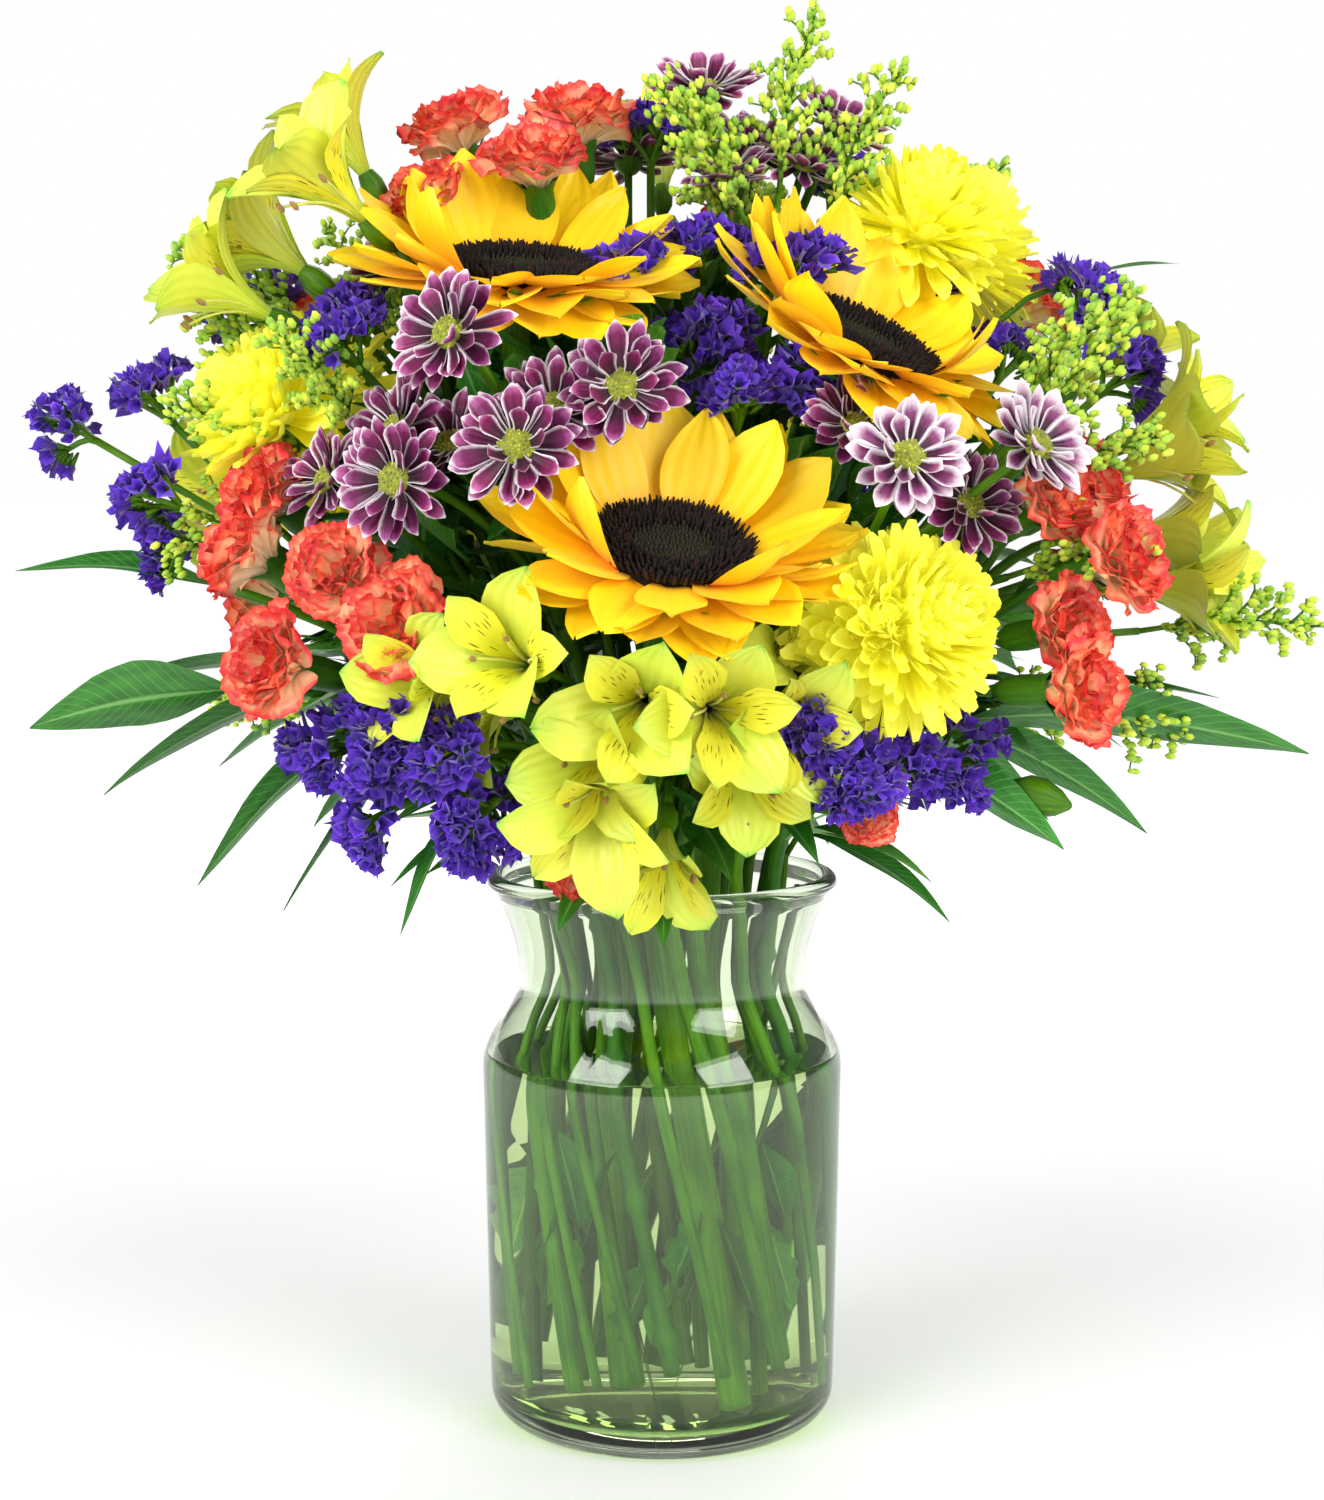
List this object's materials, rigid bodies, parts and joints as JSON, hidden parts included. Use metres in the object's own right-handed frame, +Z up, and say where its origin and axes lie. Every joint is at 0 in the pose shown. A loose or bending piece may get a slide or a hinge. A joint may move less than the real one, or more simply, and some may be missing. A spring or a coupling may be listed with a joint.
{
  "type": "mixed bouquet with sunflowers in a glass vase",
  "caption": "A clear glass gathering vase of water holding a rounded mixed bouquet led by large sunflowers, with mums, carnations, daisies, statice, goldenrod and leaves",
  "frame": {"origin": "middle of the vase's flat underside", "axes": "+Z up; the bouquet's front faces -Y; +X is to its right as seen from the front"},
  "size_m": [0.4425, 0.2779, 0.4901],
  "materials": {
    "carnation_back_bloom_1": "soft ruffled coral petals with crimson edges",
    "carnation_back_bloom_2": "soft ruffled coral petals with crimson edges",
    "carnation_back_stem": "fresh green stem, satin",
    "carnation_left_bloom_1": "soft ruffled coral petals with crimson edges",
    "carnation_left_bloom_2": "soft ruffled coral petals with crimson edges",
    "carnation_left_bloom_3": "soft ruffled coral petals with crimson edges",
    "carnation_left_stem": "fresh green stem, satin",
    "carnation_right_bloom_1": "soft ruffled coral petals with crimson edges",
    "carnation_right_bloom_2": "soft ruffled coral petals with crimson edges",
    "carnation_right_bloom_3": "soft ruffled coral petals with crimson edges",
    "carnation_right_stem": "fresh green stem, satin",
    "carnation_top_bloom_1": "soft ruffled coral petals with crimson edges",
    "carnation_top_bloom_2": "soft ruffled coral petals with crimson edges",
    "carnation_top_stem": "fresh green stem, satin",
    "daisy_back": "soft magenta petals with pale edges",
    "daisy_left": "soft magenta petals with pale edges",
    "daisy_right": "soft magenta petals with pale edges",
    "daisy_top": "soft magenta petals with pale edges",
    "goldenrod_back": "tiny soft lime buds",
    "goldenrod_left": "tiny soft lime buds",
    "goldenrod_right": "tiny soft lime buds",
    "goldenrod_top": "tiny soft lime buds",
    "leaf_back_left": "smooth waxy dark green leaf",
    "leaf_back_right": "smooth waxy dark green leaf",
    "leaf_left_broad": "smooth waxy dark green leaf",
    "leaf_left_long": "smooth waxy dark green leaf",
    "leaf_left_low": "smooth waxy dark green leaf",
    "leaf_right_broad": "smooth waxy dark green leaf",
    "leaf_right_long": "smooth waxy dark green leaf",
    "lily_back": "satin lime-yellow petals",
    "lily_front": "satin lime-yellow petals",
    "lily_right": "satin lime-yellow petals",
    "lily_top": "satin lime-yellow petals",
    "mum_back_bloom": "soft lemon-yellow petals",
    "mum_back_stem": "fresh green stem, satin",
    "mum_front_bloom": "soft lemon-yellow petals",
    "mum_front_stem": "fresh green stem, satin",
    "mum_left_bloom": "soft lemon-yellow petals",
    "mum_left_stem": "fresh green stem, satin",
    "mum_top_bloom": "soft lemon-yellow petals",
    "mum_top_stem": "fresh green stem, satin",
    "statice_back": "dry papery violet combs",
    "statice_centre": "dry papery violet combs",
    "statice_left": "dry papery violet combs",
    "statice_low_left": "dry papery violet combs",
    "statice_low_right": "dry papery violet combs",
    "statice_right": "dry papery violet combs",
    "sunflower_front_disc": "matt, finely bristled seed head",
    "sunflower_front_petals": "soft satin petals, ribbed lengthwise",
    "sunflower_front_stem": "fresh green stem, satin",
    "sunflower_left_disc": "matt, finely bristled seed head",
    "sunflower_left_petals": "soft satin petals, ribbed lengthwise",
    "sunflower_left_stem": "fresh green stem, satin",
    "sunflower_right_disc": "matt, finely bristled seed head",
    "sunflower_right_petals": "soft satin petals, ribbed lengthwise",
    "sunflower_right_stem": "fresh green stem, satin",
    "vase": "clear, faintly green pressed glass, polished",
    "water": "clear still water"
  },
  "bodies": {
    "root": {"carnation_back_bloom_1": "carnation_back_bloom_1", "carnation_back_bloom_2": "carnation_back_bloom_2", "carnation_back_stem": "carnation_back_stem", "carnation_left_bloom_1": "carnation_left_bloom_1", "carnation_left_bloom_2": "carnation_left_bloom_2", "carnation_left_bloom_3": "carnation_left_bloom_3", "carnation_left_stem": "carnation_left_stem", "carnation_right_bloom_1": "carnation_right_bloom_1", "carnation_right_bloom_2": "carnation_right_bloom_2", "carnation_right_bloom_3": "carnation_right_bloom_3", "carnation_right_stem": "carnation_right_stem", "carnation_top_bloom_1": "carnation_top_bloom_1", "carnation_top_bloom_2": "carnation_top_bloom_2", "carnation_top_stem": "carnation_top_stem", "daisy_back": "daisy_back", "daisy_left": "daisy_left", "daisy_right": "daisy_right", "daisy_top": "daisy_top", "goldenrod_back": "goldenrod_back", "goldenrod_left": "goldenrod_left", "goldenrod_right": "goldenrod_right", "goldenrod_top": "goldenrod_top", "leaf_back_left": "leaf_back_left", "leaf_back_right": "leaf_back_right", "leaf_left_broad": "leaf_left_broad", "leaf_left_long": "leaf_left_long", "leaf_left_low": "leaf_left_low", "leaf_right_broad": "leaf_right_broad", "leaf_right_long": "leaf_right_long", "lily_back": "lily_back", "lily_front": "lily_front", "lily_right": "lily_right", "lily_top": "lily_top", "mum_back_bloom": "mum_back_bloom", "mum_back_stem": "mum_back_stem", "mum_front_bloom": "mum_front_bloom", "mum_front_stem": "mum_front_stem", "mum_left_bloom": "mum_left_bloom", "mum_left_stem": "mum_left_stem", "mum_top_bloom": "mum_top_bloom", "mum_top_stem": "mum_top_stem", "statice_back": "statice_back", "statice_centre": "statice_centre", "statice_left": "statice_left", "statice_low_left": "statice_low_left", "statice_low_right": "statice_low_right", "statice_right": "statice_right", "sunflower_front_disc": "sunflower_front_disc", "sunflower_front_petals": "sunflower_front_petals", "sunflower_front_stem": "sunflower_front_stem", "sunflower_left_disc": "sunflower_left_disc", "sunflower_left_petals": "sunflower_left_petals", "sunflower_left_stem": "sunflower_left_stem", "sunflower_right_disc": "sunflower_right_disc", "sunflower_right_petals": "sunflower_right_petals", "sunflower_right_stem": "sunflower_right_stem", "vase": "vase", "water": "water"}
  },
  "joints": []
}
